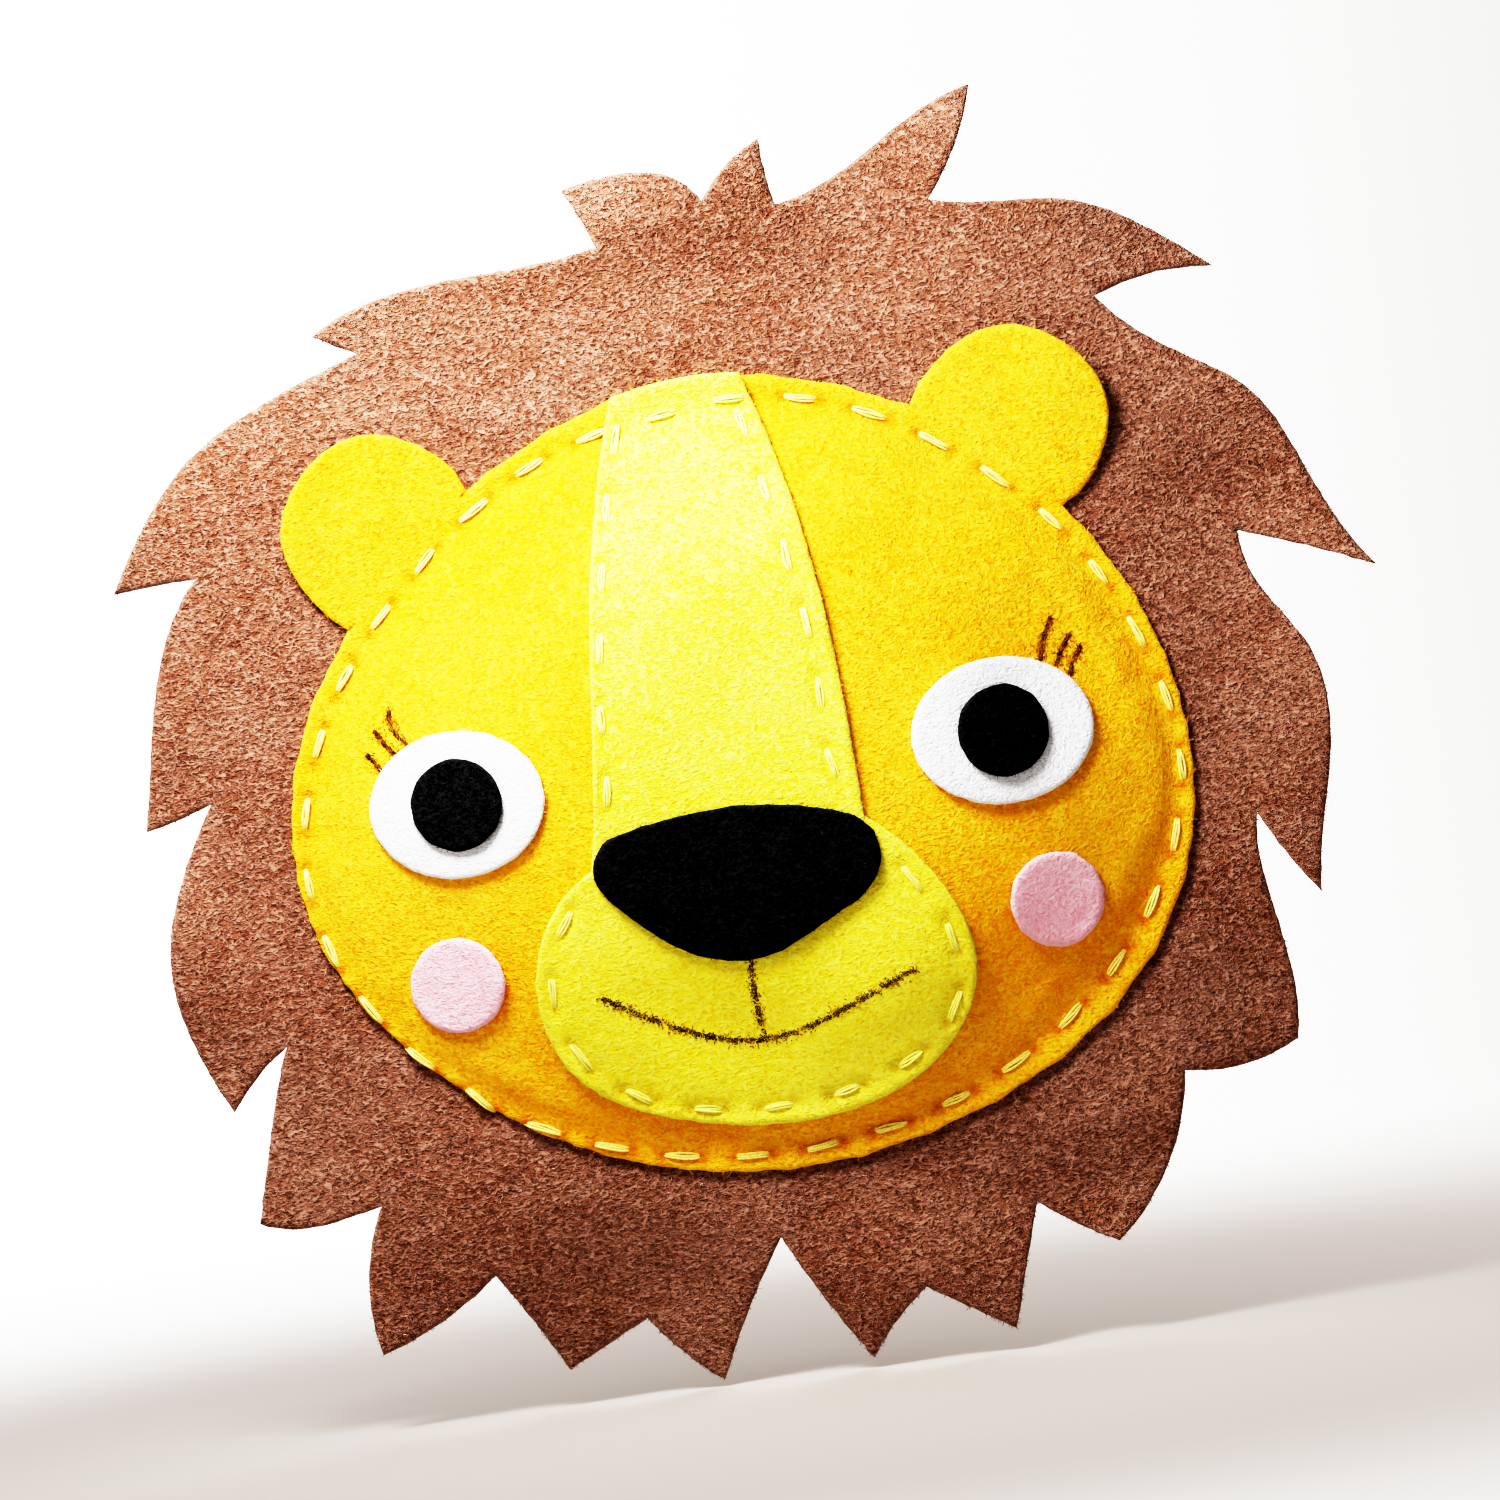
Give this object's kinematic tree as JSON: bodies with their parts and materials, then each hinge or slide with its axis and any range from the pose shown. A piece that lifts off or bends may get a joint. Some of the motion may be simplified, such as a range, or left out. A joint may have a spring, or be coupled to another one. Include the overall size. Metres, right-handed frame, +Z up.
{
  "type": "hand puppet",
  "caption": "Felt lion-head hand puppet: a padded face with layered felt features on a jagged felt mane, with folding ears and a hand pocket behind.",
  "frame": {"origin": "centre of the hand pocket's mouth, on the mane's back face", "axes": "+Z up the face, the face looks towards -Y, +X to the viewer's right"},
  "size_m": [0.1645, 0.0386, 0.165],
  "materials": {
    "mane_felt": "soft craft felt, brown, brushed, no gloss",
    "face_felt": "soft craft felt, golden yellow, fuzzy, no gloss",
    "snout_felt": "soft craft felt, lemon yellow, fuzzy, no gloss",
    "black_felt": "soft craft felt, black, a few pale fibres",
    "white_felt": "soft craft felt, white",
    "pink_felt": "soft craft felt, pale pink",
    "seam_floss": "stranded cotton floss, pale yellow, slight sheen",
    "snout_floss": "stranded cotton floss, lemon yellow, slight sheen",
    "brown_thread": "cotton thread, brown",
    "drawn_ink": "dry brown-black marker line on felt",
    "fibre_fill": "loose polyester fibre fill"
  },
  "bodies": {
    "head": {"mane": "mane_felt", "stuffing": "fibre_fill", "face_felt": "face_felt", "snout_panel": "snout_felt", "nose": "black_felt", "left_eye_white": "white_felt", "right_eye_white": "white_felt", "left_pupil": "black_felt", "right_pupil": "black_felt", "left_cheek": "pink_felt", "right_cheek": "pink_felt", "mouth_line": "drawn_ink", "left_lashes": "drawn_ink", "right_lashes": "drawn_ink", "face_seam_stitches": "seam_floss", "snout_stitches": "snout_floss", "hand_pocket": "mane_felt", "pocket_stitches": "brown_thread", "seam_knot": "seam_floss", "pocket_knot": "brown_thread"},
    "left_ear": {"left_ear": "face_felt"},
    "right_ear": {"right_ear": "face_felt"}
  },
  "joints": [
    {"name": "left_ear_fold", "type": "hinge", "parent": "head", "child": "left_ear", "pos_m": [-0.04, -0.0027, 0.08175], "axis": [0.7372, 0, 0.6757], "range_deg": [0, 75], "stiffness_Nm_per_rad": 0.0002},
    {"name": "right_ear_fold", "type": "hinge", "parent": "head", "child": "right_ear", "pos_m": [0.03725, -0.0027, 0.085], "axis": [0.7564, 0, -0.6542], "range_deg": [0, 75], "stiffness_Nm_per_rad": 0.0002}
  ]
}
